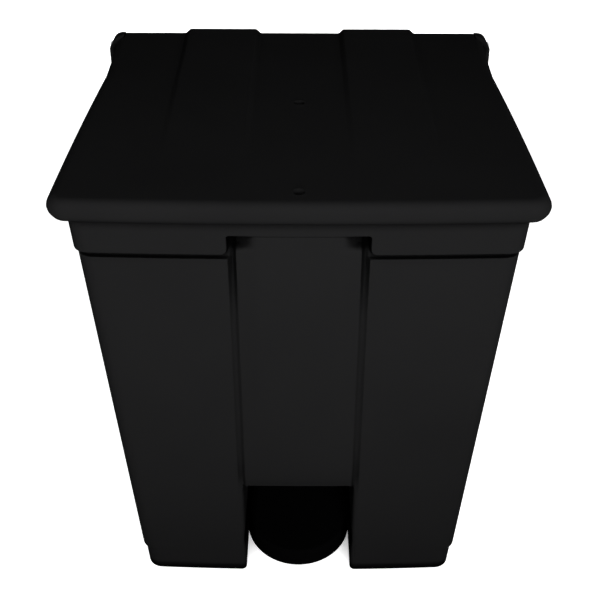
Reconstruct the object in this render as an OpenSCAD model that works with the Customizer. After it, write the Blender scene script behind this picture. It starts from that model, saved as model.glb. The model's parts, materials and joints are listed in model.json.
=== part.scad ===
// Step-on bin: a tapered tub with a tunnel for the foot lever, and a rear-hinged lid that two push
// rods lift. The origin is at the middle of the bin, on the floor, and the front faces -Y.

/* [Overall] */
// Height from the floor to the top of the lid's raised bands, lid shut
height_all = 435; // [400:1:480]
// Width across the two hinge ears
width_all = 400; // [370:1:440]
// Depth from the lid's front edge to the back of the lid's raised bands
depth_all = 410; // [390:1:440]

/* [Lid] */
// Wall thickness of the lid
lid_wall = 3; // [2.4:0.1:3.4]
// Radius of the half-round edge that runs round the lid
edge_r = 9.5; // [9:0.5:12]
// How far the open lip of that edge comes in from its widest line
lip_depth = 8.5; // [7:0.5:9]
// Corner radius of the lid in plan, at its widest line
lid_corner_r = 16; // [14:0.5:24]
// Slope of the lid's top, down from the hinge to the front, in degrees
lid_tilt = 0.73; // [0:0.01:1]
// Radius of the rolled rear edge about the hinge line
barrel_r = 14; // [13:0.5:16]
// Height of the raised bands at the rear
band_h = 4.2; // [3:0.5:6]
// Distance from the middle to the inner edge of a band
band_in = 41; // [35:0.5:50]
// Distance from the middle to the outer edge of a band, at the rear
band_out = 120.5; // [108:0.5:125]
// Narrowing of a band's outer edge between the rear and its front end
band_narrow = 5; // [0:0.5:10]
// Length of a band forward of the hinge line
band_len = 307; // [200:1:330]
// Angle that the lid opens through, in degrees
lid_open = 80; // [70:1:82]

/* [Tub] */
// Wall thickness of the tub
tub_wall = 3; // [2.4:0.1:3.4]
// Height of the lower edge of the collar
collar_z = 371; // [355:1:375]
// How far the collar stands out from the wall below it
collar_step = 2.6; // [2:0.1:4]
// Corner radius of the tub in plan
tub_corner_r = 13; // [11:0.5:18]
// Bulge of the tub's front wall at mid width
tub_crown = 4; // [2:0.5:6]
// Bulge of the lid's front edge at mid width
lid_crown = 2; // [0:0.5:2]
// Bulge of the side walls of the tub and lid at mid depth
side_crown = 2.4; // [0:0.2:4]
// How much wider each side of the lid is in front than midway
lid_flare = 4; // [3:0.1:5]
// How much wider each side of the tub is in front than midway
tub_flare = 3.6; // [2:0.1:4]
// Draft of the side walls, in degrees
draft_side = 3.7; // [2:0.01:5]
// Draft of the front and rear walls, in degrees
draft_front = 4.4; // [2:0.1:5]
// Height of the small inward step at the foot of the side walls
foot_z = 27; // [15:1:40]
// Depth of that step
foot_step = 2.3; // [1:0.1:3]
// Half width of the lever tunnel
tunnel_hw = 51; // [50:1:60]
// Height of the lever tunnel
tunnel_h = 115; // [95:1:130]
// Radius of the tunnel's upper corners
tunnel_r = 6; // [3:0.5:12]
// Outer edge of the grooves beside the front panel
groove_out = 55.5; // [54:0.5:60]
// Width of a groove at the wall's surface
groove_w = 7; // [5:0.5:9]
// Depth of a groove
groove_depth = 3.5; // [3:0.5:6]
// Height of the collar's notch over the front panel
notch_h = 22.4; // [12:0.1:26]

/* [Hinge] */
// Thickness of an ear
ear_t = 15.5; // [14:0.5:17]
// Radius of an ear's round top about the hinge line
ear_r = 15; // [14:0.5:17]
// Rounding of an ear's upper outer corner
ear_round = 12; // [6:0.5:13]
// Height of the shoulder that carries an ear
shoulder_h = 26; // [20:1:30]
// Width of that shoulder, inward from the ear's outer face
shoulder_w = 60; // [50:1:70]
// Radius of the hinge pins
pin_r = 4; // [3:0.1:5]
// Length of a hinge pin from the ear's outer face
pin_len = 48; // [46:1:52]
// Radius of a hinge pin's head
pin_head_r = 5.5; // [5.2:0.1:6.5]
// Thickness of a hinge pin's head
pin_head_t = 2; // [1.5:0.1:3]
// Length of the lid's knuckles
knuckle_len = 26; // [20:1:30]

/* [Lever and rods] */
// Length of the tread's rounded nose
nose_len = 60; // [45:1:70]
// Length of the pedal tread
tread_len = 140; // [90:1:150]
// Height of the tread's lower lip above the floor, pedal up
tread_z = 38; // [34:1:44]
// Depth of the tread's rim
tread_rim = 17; // [15:1:19]
// Thickness of the tread's top
tread_top = 5; // [4:0.5:6]
// How far the tread's nose stays behind the lid's front edge
tread_setback = 15.5; // [5:0.5:30]
// Radius of the push rods
rod_r = 2.5; // [2:0.1:3]
// Distance from the middle to each push rod
rod_x = 79; // [74:1:84]
// Horizontal distance from the hinge line forward to the push rods
crank_d = 12.5; // [11:0.1:13]
// Height of the lever's axle above the floor
axle_z = 30; // [28:1:34]
// Position of the lever's axle, behind the middle of the bin
axle_y = 20; // [0:1:30]
// Radius of the lever's axle
axle_r = 4; // [3:0.1:5]
// Half width of the lever's arm
arm_hw = 31; // [26:1:34]
// Thickness of the lever's sheet
arm_t = 4; // [3:0.5:5]
// Depth of the lever's side flanges
arm_flange = 15; // [13:1:17]
// Depth of the lever's rear cross bar, along the tunnel
bar_len = 20; // [16:1:26]
// Bend radius of the rods' hooked ends
rod_bend = 6; // [5:0.5:7]

/* [Fittings] */
// Thickness of the lid's rod levers
link_t = 5; // [4:0.5:7]
// Radius of all the screws' shanks
screw_r = 2; // [1.5:0.1:2.5]
// Radius of all the screws' heads
screw_head_r = 3.8; // [3:0.1:4.5]
// Height of all the screws' heads
screw_head_h = 2.4; // [1.5:0.1:3]
// Outer radius of the push-on clips on the pins and the axle
clip_r = 6.5; // [6:0.1:8]
// Outer radius of the push-on clips on the rods
rod_clip_r = 5; // [4:0.1:5.2]
// Thickness of the push-on clips
clip_t = 2.5; // [1.5:0.1:3.5]
// Height of the rod guides above the floor
guide_z = 318; // [290:1:325]

/* [Clearances] */
// Radial clearance of turning fits
run_gap = 0.1; // [0.05:0.01:0.1]
// Gap between the lid's ends and the ears
ear_gap = 0.8; // [0.5:0.1:1.5]
// Gap between the tub's rim and the lid above it
rim_gap = 0.4; // [0.3:0.1:1]
// Gap between the tub's rim and the lid's lip, in front and at the rear of the sides
lip_gap = 1.6; // [1.2:0.1:3]
// Gap between moving parts that pass each other
pass_gap = 1.5; // [1:0.1:3]
// Play of a rod's hook across the slot of its lid lever
slot_play = 1.3; // [1.1:0.1:2]
// Play of a rod in its guide
guide_play = 0.8; // [0.6:0.1:1.5]

/* [Hidden] */

$fn = 48;
far = 1000;       // longer than anything that is cut
skin = 0.01;      // thickness of the slices that a hull is drawn over
lap = 0.5;        // how far joined pieces of one moulding run into each other
sides = [-1, 1];  // left and right
edge_steps = 8;   // steps round the lid's half-round edge
arc_steps = 6;    // steps round a corner in plan
run_steps = 10;   // steps along a crowned side in plan

// Hinge line
band_r = barrel_r + band_h;
hinge_y = depth_all / 2 - band_r;
hinge_z = height_all - band_r;
front_y = -depth_all / 2;

// Lid, in its own frame: the hinge line is at zero and the top is flat
lid_rear_hw = width_all / 2 - ear_t - ear_gap;
lid_hw = lid_rear_hw + lid_flare;
lid_front = front_y - hinge_y;
lid_back = -barrel_r - 2;
hollow_back = lid_back + 1;                 // the hollow runs on into the rolled edge
edge_z = barrel_r - edge_r;
ceiling_z = barrel_r - lid_wall;
wrap_end = -20;                             // lower end of the rolled rear edge, in degrees
knuckle_in = lid_rear_hw - knuckle_len;
knuckle_r = ceiling_z + lap;
band_step = 0.1;                            // how far a strip lies inside its rolled end
band_tuck = 3;                              // how far it runs into that end
recess_r = band_r - lid_wall;               // hollow under a band, about the hinge line
recess_in = band_in + band_h;
recess_out = band_out - band_h - lid_wall;
recess_z = barrel_r + lap;
nub_r = 5;                                  // moulding marks on the lid's centre line
nub_h = 1;
nub_mid_set = 4.5;                          // from the lid's middle back to the middle mark
nub_front_set = 12.5;                       // from the rolled edge back to the front mark
nub_mid_y = lid_front / 2 + nub_mid_set;
nub_front_y = lid_front + edge_r + nub_front_set;

// Links that the rods push, in the lid's frame
link_tan = tan(lid_open / 2);
link_far = crank_d / cos(lid_open / 2);     // hook to hinge line, lid shut or fully open
link_near = crank_d - slot_play / 3;        // hook to hinge line at half travel
slot_r = rod_r + slot_play;
link_end_r = slot_r + 2.5;
link_reach = link_far + link_end_r;
link_x = rod_x - rod_bend - link_t / 2 - 1.5;
link_flange_z = edge_z + 2.5;
link_flange_t = 3;
link_flange_hw = 15;
link_flange_back = -2;
link_flange_len = 18;
link_screw_dx = 11;
link_screw_y = link_flange_back - link_flange_len / 2 - 1;

// Tub walls: the rim sits inside the lid's lip and clears the links
rim_z = hinge_z + (ceiling_z - rim_gap) * cos(lid_tilt) + lid_front * sin(lid_tilt);
rim_hw = lid_rear_hw - lip_depth - lip_gap + tub_flare;
rim_front = front_y + lip_depth + lip_gap;
rim_back = hinge_y - link_reach - pass_gap;
rim_high = hinge_z + barrel_r;
function wall_in(z, draft) = (rim_z - z) * tan(draft) + (z < collar_z ? collar_step : 0);
function wall_front(z) = rim_front + wall_in(z, draft_front);
function wall_back(z) = rim_back - wall_in(z, draft_front);

// Linkage
rod_y = hinge_y - crank_d;
rod_top_z = hinge_z - crank_d * link_tan;
rear_arm = rod_y - axle_y;
foot_drop = crank_d * link_tan;             // axle line down to the rods' feet
rod_foot_z = axle_z - foot_drop;
hook_len = 12;                              // straight end of a rod, beyond its bend
hook_x = rod_x - rod_bend - hook_len;
clip_gap = 0.5;                             // between a clip and what it keeps in place
top_clip_x = link_x - link_t / 2 - clip_gap - clip_t;
bend_swell = 0.05;                          // how much thicker a rod is round its bends

// Lever: a straight channel, seen in a frame that is tilted about its axle
nose_y = front_y + tread_setback;
arm_rise = axle_r + arm_t;                  // axle line to the top of the arm
lever_len = axle_y - nose_y;
arm_slope = asin((tread_z - axle_z + tread_rim - tread_top - arm_rise) / lever_len);
tread_lip = arm_rise + tread_top - tread_rim;
tread_wall = 3;
tread_hw = tunnel_hw - pass_gap;
arm_front = nose_len * 0.5;                 // from the nose to the end of the arm
bar_hw = rod_x - rod_bend - 1;
foot_clip_x = bar_hw - arm_t - clip_gap - clip_t;
bar_y = rear_arm * cos(arm_slope) + foot_drop * sin(arm_slope);
bar_z = rear_arm * sin(arm_slope) - foot_drop * cos(arm_slope);
bar_low = bar_z - rod_r - arm_t;
tread_screw_x = arm_hw / 2;
tread_screw_back = 15;                      // from the nose's widest line to the screws
tread_screw_y = -lever_len + nose_len + tread_screw_back;

// Cradles for the axle, inside the tunnel
cradle_in = arm_hw + clip_t + 5;
cradle_len = 36;
cradle_rise = 20;                           // axle line to the top of a cradle
cradle_drop = axle_r + 6;                   // axle line to its foot
cradle_top = axle_z + cradle_rise;
cradle_bottom = axle_z - cradle_drop;
cap_t = 4;
cap_gap = 0.2;                              // between a cap's tongue and its slot
cap_screw_y = 12;
cap_screw_len = 18;
axle_end_gap = 0.5;

// Ears and their shoulders
ear_in = width_all / 2 - ear_t;
shoulder_top = hinge_z - barrel_r - 4;
shoulder_z = shoulder_top - shoulder_h;
shoulder_in = width_all / 2 - shoulder_w;
shoulder_wall = 3.5;

// Rod guides
guide_pad_hw = 18;
guide_pad_h = 44;
guide_pad_y = wall_back(guide_z + guide_pad_h / 2) + 2;
guide_plate_t = 3;
guide_arm_h = 8;
guide_arm_hw = 8;
guide_screw_dz = 15;
guide_grip = 4.5;

tub_colour = [0.15, 0.15, 0.155];
black = [0.07, 0.07, 0.07];
steel = [0.62, 0.63, 0.65];

// A rounded rectangle with a bulging front, bulging sides and a wider front
function corner(cx, cy, r, a0) = [
    for (i = [0 : arc_steps])
        let (a = a0 + 90 * i / arc_steps)
        [cx + r * cos(a), cy + r * sin(a)]
];
function run(p, q) = [for (i = [1 : run_steps - 1]) p + (q - p) * i / run_steps];
function rounded(hw, y0, y1, r, rear_r) = concat(
    corner(hw - rear_r, y1 - rear_r, rear_r, 0),
    corner(-hw + rear_r, y1 - rear_r, rear_r, 90),
    run([-hw, y1 - rear_r], [-hw, y0 + r]),
    corner(-hw + r, y0 + r, r, 180),
    run([-hw + r, y0], [hw - r, y0]),
    corner(hw - r, y0 + r, r, 270),
    run([hw, y0 + r], [hw, y1 - rear_r])
);
function bulged(p, hw, yc, hd, crown, flare) =
    let (ahead = (yc - p.y) / hd)
    [
        p.x + (p.x / hw) * (side_crown * (1 - ahead * ahead) + flare * ahead),
        p.y - (ahead > 0 ? crown * ahead * (1 - pow(p.x / hw, 2)) : 0)
    ];
function outline(hw, y0, y1, r, rear_r, crown, flare) =
    let (base = y0 + crown, yc = (base + y1) / 2, hd = (y1 - base) / 2)
    [for (p = rounded(hw, base, y1, r, rear_r)) bulged(p, hw, yc, hd, crown, flare)];

module slice(z, points) {
    translate([0, 0, z - skin / 2]) linear_extrude(skin) polygon(points);
}

module box(low, high) {
    translate(low) cube(high - low);
}

// A cylinder along X from x0 to x1, centred on y, z
module bar_x(r, x0, x1, y, z) {
    translate([min(x0, x1), y, z]) rotate([0, 90, 0]) cylinder(r = r, h = abs(x1 - x0));
}

// Draws its child on the right, or mirrored on the left
module on_side(side) {
    mirror([side < 0 ? 1 : 0, 0, 0]) children();
}

module both_sides() {
    for (side = sides) on_side(side) children();
}

// ---- Tub ----

// One slice of the tub's wall; steps says which of the two inward steps lie above it
module tub_slice(z, steps, inset) {
    side = (rim_z - z) * tan(draft_side) + (steps > 0 ? collar_step : 0)
        + (steps > 1 ? foot_step : 0) + inset;
    end = (rim_z - z) * tan(draft_front) + (steps > 0 ? collar_step : 0) + inset;
    r = tub_corner_r - inset;
    slice(z, outline(rim_hw - side, rim_front + end, rim_back - end, r, r, tub_crown, tub_flare));
}

module tub_solid(inset, floor_z) {
    hull() {
        tub_slice(floor_z, 2, inset);
        tub_slice(foot_z + inset, 2, inset);
    }
    hull() {
        tub_slice(foot_z + inset, 1, inset);
        tub_slice(collar_z + inset, 1, inset);
    }
    hull() {
        tub_slice(collar_z + inset, 0, inset);
        tub_slice(rim_high, 0, inset);
    }
}

// The lever tunnel, grown by a wall's thickness for the hump over it
module tunnel(grow) {
    hw = tunnel_hw + grow;
    top = tunnel_h + grow;
    r = tunnel_r + grow;
    rotate([90, 0, 0]) linear_extrude(2 * far, center = true) {
        translate([-hw, -far]) square([2 * hw, far + top - r]);
        translate([-hw + r, top - r - lap]) square([2 * (hw - r), r + lap]);
        for (side = sides) translate([side * (hw - r), top - r]) circle(r);
    }
}

// Draws its children against the sloping front wall: Z runs up the wall and -Y points out of it
module on_front_wall() {
    translate([0, wall_front(0), 0]) rotate([draft_front, 0, 0]) children();
}

module front_grooves() {
    slope = groove_w - 4;
    on_front_wall() translate([0, 0, -lap]) linear_extrude(collar_z + notch_h + lap)
        for (side = sides)
            polygon([
                [side * groove_out, -far], [side * groove_out, 0],
                [side * (groove_out - 1), groove_depth],
                [side * (groove_out - groove_w + slope), groove_depth],
                [side * (groove_out - groove_w), 0], [side * (groove_out - groove_w), -far]
            ]);
}

module collar_notch() {
    on_front_wall() box([-groove_out, -far, collar_z - 2 * lap], [groove_out, 0, collar_z + notch_h]);
}

// The wall is thicker behind the grooves, so they don't cut through it
module groove_backing() {
    hw = groove_out + tub_wall;
    on_front_wall() box([-hw, -far, -far], [hw, tub_wall + groove_depth, far]);
}

// Everything above the rim, parallel to the shut lid
module above_rim() {
    translate([0, hinge_y, hinge_z]) rotate([lid_tilt, 0, 0])
        box([-far, -far, ceiling_z - rim_gap], [far, far, far]);
}

// Seen from the side an ear ends in a half circle, and from the front in a rounded outer corner
module ear() {
    corner_z = hinge_z + ear_r - ear_round;
    translate([ear_in, hinge_y, 0]) intersection() {
        union() {
            translate([0, 0, hinge_z]) rotate([0, 90, 0]) cylinder(r = ear_r, h = ear_t);
            translate([0, -ear_r, shoulder_z]) cube([ear_t, 2 * ear_r, hinge_z - shoulder_z]);
        }
        rotate([90, 0, 0]) linear_extrude(2 * far, center = true) {
            square([ear_t - ear_round, far]);
            square([ear_t, corner_z]);
            translate([ear_t - ear_round, corner_z]) circle(ear_round);
        }
    }
}

module shoulder() {
    x_mid = rim_hw - tub_corner_r;
    difference() {
        union() {
            box([shoulder_in, wall_back(shoulder_z) - tub_wall, shoulder_z],
                [x_mid, hinge_y + ear_r, shoulder_top]);
            box([x_mid - lap, hinge_y - ear_r, shoulder_z],
                [ear_in + lap, hinge_y + ear_r, shoulder_top]);
        }
        box([shoulder_in + shoulder_wall, hinge_y - ear_r + shoulder_wall, -far],
            [ear_in, hinge_y + ear_r - shoulder_wall, shoulder_top - shoulder_wall]);
    }
}

module cradle() {
    box([cradle_in, axle_y - cradle_len / 2, cradle_bottom],
        [tunnel_hw + lap, axle_y + cradle_len / 2, cradle_top]);
}

module cradle_cuts() {
    r = axle_r + run_gap;
    bar_x(r, cradle_in - 1, tunnel_hw, axle_y, axle_z);
    box([cradle_in - 1, axle_y - r, cradle_bottom - 1], [tunnel_hw, axle_y + r, axle_z]);
    cap_screw_shanks();
}

module guide_pad() {
    box([rod_x - guide_pad_hw, wall_back(guide_z) - tub_wall + 1, guide_z - guide_pad_h / 2],
        [rod_x + guide_pad_hw, guide_pad_y, guide_z + guide_pad_h / 2]);
}

module body_shell() {
    color(tub_colour) difference() {
        union() {
            difference() {
                union() {
                    tub_solid(0, 0);
                    both_sides() shoulder();
                }
                difference() {
                    tub_solid(tub_wall, tub_wall);
                    tunnel(tub_wall);
                    groove_backing();
                }
                tunnel(0);
                front_grooves();
                collar_notch();
                above_rim();
            }
            both_sides() {
                ear();
                cradle();
                guide_pad();
            }
        }
        both_sides() {
            cradle_cuts();
            hinge_pin();
            guide_screw_pair();
        }
    }
}

// ---- Lid ----

function lid_outline(inset, back) =
    outline(lid_hw - inset, lid_front + inset, back, lid_corner_r - inset, lap, lid_crown, lid_flare);

// The lid's edge is half round: each slice follows it at one height
module lid_solid(wall, back) {
    r = edge_r - wall;
    hull() for (i = [0 : edge_steps]) {
        a = 90 - 180 * i / edge_steps;
        inset = wall + r * (1 - cos(a));
        slice(edge_z + r * sin(a), lid_outline(inset, back));
    }
}

module lip_opening() {
    translate([0, 0, -far]) linear_extrude(far + edge_z)
        polygon(lid_outline(lip_depth, hollow_back));
}

// A profile of radius and X, turned about the hinge line
module about_hinge(from, to) {
    rotate([90, 0, 90]) rotate([0, 0, from]) rotate_extrude(angle = to - from, $fn = 96) children();
}

// A band's section at y, inset all round and with its top at z
module band_section(y, inset, z) {
    x0 = band_in + inset;
    x1 = band_out - inset;
    bevel = z - barrel_r;
    translate([0, y, 0]) rotate([90, 0, 0]) linear_extrude(skin, center = true)
        polygon([
            [x0, ceiling_z + lap], [x1, ceiling_z + lap], [x1, barrel_r],
            [x1 - bevel, z], [x0 + bevel, z], [x0, barrel_r]
        ]);
}

// The raised strip ends inside the rolled one behind it, and runs out under the top in front
module band_strip() {
    hull() {
        band_section(band_tuck, 3 * band_step, band_r - band_tuck / 2);
        band_section(0, band_step, band_r - band_step);
        translate([0, -band_len, 0])
            box([band_in, 0, ceiling_z + lap], [band_out - band_narrow, skin, barrel_r - lap]);
    }
}

module band_roll() {
    about_hinge(wrap_end, 90)
        polygon([
            [ceiling_z + lap, band_in], [barrel_r, band_in], [band_r, band_in + band_h],
            [band_r, band_out - band_h], [barrel_r, band_out], [ceiling_z + lap, band_out]
        ]);
}

module band_recess() {
    bar_x(recess_r, recess_in, recess_out, 0, 0);
    box([recess_in, -hinge_y + rim_back, -edge_r], [recess_out, 0, recess_z]);
}

module link_boss() {
    for (way = sides)
        translate([link_x + way * link_screw_dx, link_screw_y, link_flange_z + link_flange_t])
            cylinder(r = 2 * screw_r, h = recess_z - link_flange_z - link_flange_t + lap);
}

module lid_frame() {
    translate([0, hinge_y, hinge_z]) rotate([lid_tilt, 0, 0]) children();
}

module lid() {
    color(tub_colour) lid_frame() {
        difference() {
            union() {
                difference() {
                    lid_solid(0, lid_back);
                    lid_solid(lid_wall, hollow_back);
                    lip_opening();
                }
                box([-lid_rear_hw, lid_back - lap, ceiling_z], [lid_rear_hw, 0, barrel_r]);
                about_hinge(wrap_end, 90)
                    translate([ceiling_z, -lid_rear_hw]) square([lid_wall, 2 * lid_rear_hw]);
                both_sides() {
                    band_strip();
                    band_roll();
                    bar_x(knuckle_r, knuckle_in, lid_rear_hw, 0, 0);
                    box([lid_rear_hw - lid_wall, lid_back - lap, edge_z - edge_r],
                        [lid_rear_hw, 0, barrel_r]);
                }
            }
            both_sides() {
                band_recess();
                bar_x(pin_r + run_gap, knuckle_in - 1, lid_rear_hw + 1, 0, 0);
            }
        }
        for (y = [nub_mid_y, nub_front_y]) translate([0, y, barrel_r])
            cylinder(r1 = nub_r, r2 = nub_r - nub_h, h = nub_h);
        difference() {
            both_sides() link_boss();
            both_sides() link_screw_shanks();
        }
    }
}

// ---- Links between the rods and the lid ----

module slot_circle(reach, r) {
    translate([-reach * cos(lid_open / 2), -reach * sin(lid_open / 2)]) circle(r);
}

module slot_strip(r) {
    rotate(180 + lid_open / 2) translate([link_near, -r]) square([link_far - link_near, 2 * r]);
}

// Seen along X, with Y to the right and Z up
module link_plate() {
    front = -crank_d - link_end_r;
    back = -link_near * cos(lid_open / 2) + link_end_r;
    difference() {
        union() {
            slot_circle(link_far, link_end_r);
            slot_circle(link_near, link_end_r);
            translate([front, -crank_d * link_tan])
                square([back - front, crank_d * link_tan + link_flange_z + lap]);
        }
        slot_circle(link_far, slot_r);
        slot_circle(link_near, slot_r);
        slot_strip(slot_r);
    }
}

module lid_link() {
    color(steel) lid_frame() difference() {
        union() {
            translate([link_x - link_t / 2, 0, 0]) rotate([90, 0, 90])
                linear_extrude(link_t) link_plate();
            box([link_x - link_flange_hw, link_flange_back - link_flange_len, link_flange_z],
                [link_x + link_flange_hw, link_flange_back, link_flange_z + link_flange_t]);
        }
        link_screw_shanks();
    }
}

module link_screw_shanks() {
    for (way = sides) translate([link_x + way * link_screw_dx, link_screw_y, link_flange_z])
        cylinder(r = screw_r, h = recess_z - link_flange_z);
}

module lid_link_screws() {
    color(steel) lid_frame() both_sides() {
        link_screw_shanks();
        for (way = sides)
            translate([link_x + way * link_screw_dx, link_screw_y, link_flange_z - screw_head_h])
                cylinder(r = screw_head_r, h = screw_head_h);
    }
}

// ---- Hinge pins ----

module hinge_pin() {
    outer = width_all / 2;
    bar_x(pin_r, outer - pin_len, outer - pin_head_t, hinge_y, hinge_z);
    bar_x(pin_head_r, outer - pin_head_t, outer, hinge_y, hinge_z);
}

module hinge_pin_clip() {
    x = knuckle_in - 0.5;
    difference() {
        bar_x(clip_r, x - clip_t, x, hinge_y, hinge_z);
        bar_x(pin_r, x - clip_t - 1, x + 1, hinge_y, hinge_z);
    }
}

// ---- Foot lever ----

// The lever's frame: its axle is at zero, and -Y runs up its sloping arm to the tread
module lever_frame() {
    translate([0, axle_y, axle_z]) rotate([-arm_slope, 0, 0]) children();
}

module lever_arm() {
    front = -lever_len + arm_front;
    back = bar_y - bar_len / 2 + lap;
    box([-arm_hw, front, arm_rise - arm_t], [arm_hw, back, arm_rise]);
    both_sides() box([arm_hw - arm_t, front, arm_rise - arm_flange], [arm_hw, back, arm_rise]);
}

module cross_bar() {
    y0 = bar_y - bar_len / 2;
    y1 = bar_y + bar_len / 2;
    box([-bar_hw, y0, arm_rise - arm_t], [bar_hw, y1, arm_rise]);
    for (y = [y0, y1 - arm_t]) box([-bar_hw, y, bar_low], [bar_hw, y + arm_t, arm_rise]);
    both_sides() box([bar_hw - arm_t, y0, bar_low], [bar_hw, y1, arm_rise]);
}

module pedal_lever() {
    color(black) difference() {
        union() {
            lever_frame() lever_arm();
            lever_frame() cross_bar();
        }
        bar_x(axle_r, -arm_hw - 1, arm_hw + 1, axle_y, axle_z);
        both_sides() bar_x(rod_r + run_gap, bar_hw - arm_t - 1, bar_hw + 1, rod_y, rod_foot_z);
        lever_frame() tread_screw_shanks();
    }
}

// The nose is half an ellipse
module tread_outline(inset) {
    hw = tread_hw - inset;
    nose = nose_len - inset;
    back = tread_len - nose_len - inset;
    translate([0, -lever_len + nose_len])
        polygon(concat([for (a = [0 : 7.5 : 180]) [hw * cos(a), -nose * sin(a)]],
                       [[-hw, back], [hw, back]]));
}

module pedal_tread() {
    color(black) lever_frame() difference() {
        translate([0, 0, tread_lip]) linear_extrude(tread_rim) tread_outline(0);
        translate([0, 0, tread_lip - 1]) linear_extrude(tread_rim - tread_top + 1)
            tread_outline(tread_wall);
        box([-arm_hw, -lever_len + nose_len, -far], [arm_hw, far, arm_rise]);
        tread_screw_shanks();
    }
}

module tread_screw_shanks() {
    for (side = sides) translate([side * tread_screw_x, tread_screw_y, arm_rise - arm_t])
        cylinder(r = screw_r, h = arm_t + tread_top - 1);
}

module pedal_tread_screws() {
    color(steel) lever_frame() {
        tread_screw_shanks();
        for (side = sides)
            translate([side * tread_screw_x, tread_screw_y, arm_rise - arm_t - screw_head_h])
                cylinder(r = screw_head_r, h = screw_head_h);
    }
}

module pedal_axle() {
    half = tunnel_hw - axle_end_gap;
    color(steel) bar_x(axle_r, -half, half, axle_y, axle_z);
}

module axle_clip() {
    x = arm_hw + run_gap;
    difference() {
        bar_x(clip_r, x, x + clip_t, axle_y, axle_z);
        bar_x(axle_r, x - 1, x + clip_t + 1, axle_y, axle_z);
    }
}

module axle_cap() {
    r = axle_r + run_gap;
    difference() {
        union() {
            box([cradle_in, axle_y - cradle_len / 2, cradle_bottom - cap_t],
                [tunnel_hw - cap_gap, axle_y + cradle_len / 2, cradle_bottom]);
            box([cradle_in, axle_y - r + cap_gap, cradle_bottom - lap],
                [tunnel_hw - cap_gap, axle_y + r - cap_gap, axle_z - axle_r / 2]);
        }
        bar_x(r, cradle_in - 1, tunnel_hw + 1, axle_y, axle_z);
        cap_screw_shanks();
    }
}

module at_cap_screws() {
    for (way = sides)
        translate([(cradle_in + tunnel_hw) / 2, axle_y + way * cap_screw_y, cradle_bottom - cap_t])
            children();
}

module cap_screw_shanks() {
    at_cap_screws() cylinder(r = screw_r, h = cap_screw_len);
}

module axle_cap_screws() {
    color(steel) both_sides() {
        cap_screw_shanks();
        at_cap_screws() translate([0, 0, -screw_head_h]) cylinder(r = screw_head_r, h = screw_head_h);
    }
}

// ---- Push rods ----

// The bend is a touch thicker than the rod, as a bend pressed to shape is
module rod_elbow() {
    rotate([90, 0, 0]) rotate_extrude(angle = 90) translate([rod_bend, 0]) circle(rod_r + bend_swell);
}

module push_rod() {
    bend_x = rod_x - rod_bend;
    translate([rod_x, rod_y, rod_foot_z + rod_bend])
        cylinder(r = rod_r, h = rod_top_z - rod_foot_z - 2 * rod_bend);
    translate([bend_x, rod_y, rod_top_z - rod_bend]) rod_elbow();
    translate([bend_x, rod_y, rod_foot_z + rod_bend]) mirror([0, 0, 1]) rod_elbow();
    for (z = [rod_foot_z, rod_top_z]) bar_x(rod_r, hook_x, bend_x, rod_y, z);
}

module rod_clip(x, z) {
    difference() {
        bar_x(rod_clip_r, x, x + clip_t, rod_y, z);
        bar_x(rod_r, x - 1, x + clip_t + 1, rod_y, z);
    }
}

// ---- Rod guides ----

module rod_guide() {
    arm_y = guide_pad_y + guide_plate_t;
    difference() {
        union() {
            box([rod_x - guide_pad_hw, guide_pad_y, guide_z - guide_pad_h / 2],
                [rod_x + guide_pad_hw, arm_y, guide_z + guide_pad_h / 2]);
            box([rod_x - guide_arm_hw, arm_y - lap, guide_z - guide_arm_h / 2],
                [rod_x + guide_arm_hw, rod_y, guide_z + guide_arm_h / 2]);
            translate([rod_x, rod_y, guide_z - guide_arm_h / 2])
                cylinder(r = guide_arm_hw, h = guide_arm_h);
        }
        translate([rod_x, rod_y, guide_z - guide_arm_h])
            cylinder(r = rod_r + guide_play, h = 2 * guide_arm_h);
        guide_screw_pair();
    }
}

module guide_screw_pair() {
    for (way = sides) translate([rod_x, guide_pad_y - guide_grip, guide_z + way * guide_screw_dz])
        rotate([-90, 0, 0]) cylinder(r = screw_r, h = guide_grip + guide_plate_t);
}

module rod_guide_screws() {
    color(steel) both_sides() {
        guide_screw_pair();
        for (way = sides) translate([rod_x, guide_pad_y + guide_plate_t, guide_z + way * guide_screw_dz])
            rotate([-90, 0, 0]) cylinder(r = screw_head_r, h = screw_head_h);
    }
}

body_shell();
lid();
pedal_lever();
pedal_tread();
pedal_tread_screws();
pedal_axle();
color(steel) on_side(-1) axle_clip();  // axle_clip_left
color(steel) on_side(1) axle_clip();  // axle_clip_right
color(black) on_side(-1) axle_cap();  // axle_cap_left
color(black) on_side(1) axle_cap();  // axle_cap_right
axle_cap_screws();
color(steel) on_side(-1) push_rod();  // push_rod_left
color(steel) on_side(1) push_rod();  // push_rod_right
color(steel) on_side(-1) rod_clip(foot_clip_x, rod_foot_z);  // rod_foot_clip_left
color(steel) on_side(1) rod_clip(foot_clip_x, rod_foot_z);  // rod_foot_clip_right
color(steel) on_side(-1) rod_clip(top_clip_x, rod_top_z);  // rod_top_clip_left
color(steel) on_side(1) rod_clip(top_clip_x, rod_top_z);  // rod_top_clip_right
on_side(-1) lid_link();  // lid_link_left
on_side(1) lid_link();  // lid_link_right
lid_link_screws();
color(steel) on_side(-1) hinge_pin();  // hinge_pin_left
color(steel) on_side(1) hinge_pin();  // hinge_pin_right
color(steel) on_side(-1) hinge_pin_clip();  // hinge_pin_clip_left
color(steel) on_side(1) hinge_pin_clip();  // hinge_pin_clip_right
color(black) on_side(-1) rod_guide();  // rod_guide_left
color(black) on_side(1) rod_guide();  // rod_guide_right
rod_guide_screws();
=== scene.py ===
"""The pedal trash can: smooth shells over the CAD frame, plastic and steel, and a white studio."""
import json
import math

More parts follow.
